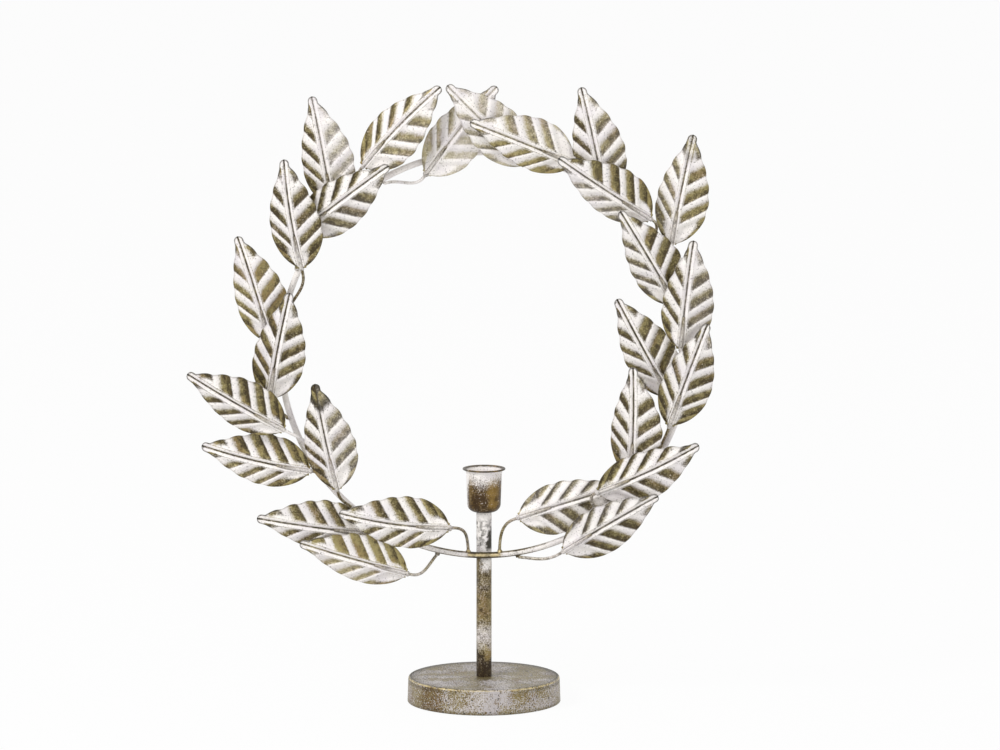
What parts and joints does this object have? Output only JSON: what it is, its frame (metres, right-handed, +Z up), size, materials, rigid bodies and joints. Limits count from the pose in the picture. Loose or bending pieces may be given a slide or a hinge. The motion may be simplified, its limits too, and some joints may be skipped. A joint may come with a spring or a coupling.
{
  "type": "taper candle holder",
  "caption": "Taper candle holder: a round weighted foot, a tube stem with a flared candle cup, and a rod ring at the front of the stem that carries a wreath of veined metal leaves.",
  "frame": {"origin": "middle of the foot's underside, on the surface that the holder stands on", "axes": "+Z up along the stem; -Y is the front, the side of the stem that the wreath is brazed to; +X to the right seen from the front"},
  "size_m": [0.3776, 0.111, 0.4506],
  "materials": {
    "leaf": "stamped sheet steel, bronzed and washed with white, bronze showing in the veins",
    "wire": "bronzed wire with traces of white wash",
    "rod": "bronzed rod washed with white, brassy where it is worn",
    "stem": "mottled dark bronze with white wash",
    "cup": "mottled bronze and white wash, worn at the lip",
    "foot": "speckled grey and gold patina, worn brassy along the top edge",
    "iron": "raw casting",
    "felt": "pressed felt"
  },
  "bodies": {
    "root": {"base_pad": "felt", "base_weight": "iron", "base_shell": "foot", "stem_tube": "stem", "candle_cup": "cup", "wreath_ring": "rod", "left_leaf_01": "leaf", "left_stalk_01": "wire", "left_leaf_02": "leaf", "left_stalk_02": "wire", "left_leaf_03": "leaf", "left_stalk_03": "wire", "left_leaf_04": "leaf", "left_stalk_04": "wire", "left_leaf_05": "leaf", "left_stalk_05": "wire", "left_leaf_06": "leaf", "left_stalk_06": "wire", "left_leaf_07": "leaf", "left_stalk_07": "wire", "left_leaf_08": "leaf", "left_stalk_08": "wire", "left_leaf_09": "leaf", "left_stalk_09": "wire", "left_leaf_10": "leaf", "left_stalk_10": "wire", "left_leaf_11": "leaf", "left_stalk_11": "wire", "left_leaf_12": "leaf", "left_stalk_12": "wire", "left_leaf_13": "leaf", "left_stalk_13": "wire", "right_leaf_01": "leaf", "right_stalk_01": "wire", "right_leaf_02": "leaf", "right_stalk_02": "wire", "right_leaf_03": "leaf", "right_stalk_03": "wire", "right_leaf_04": "leaf", "right_stalk_04": "wire", "right_leaf_05": "leaf", "right_stalk_05": "wire", "right_leaf_06": "leaf", "right_stalk_06": "wire", "right_leaf_07": "leaf", "right_stalk_07": "wire", "right_leaf_08": "leaf", "right_stalk_08": "wire", "right_leaf_09": "leaf", "right_stalk_09": "wire", "right_leaf_10": "leaf", "right_stalk_10": "wire", "right_leaf_11": "leaf", "right_stalk_11": "wire", "right_leaf_12": "leaf", "right_stalk_12": "wire", "right_leaf_13": "leaf", "right_stalk_13": "wire"}
  },
  "joints": []
}
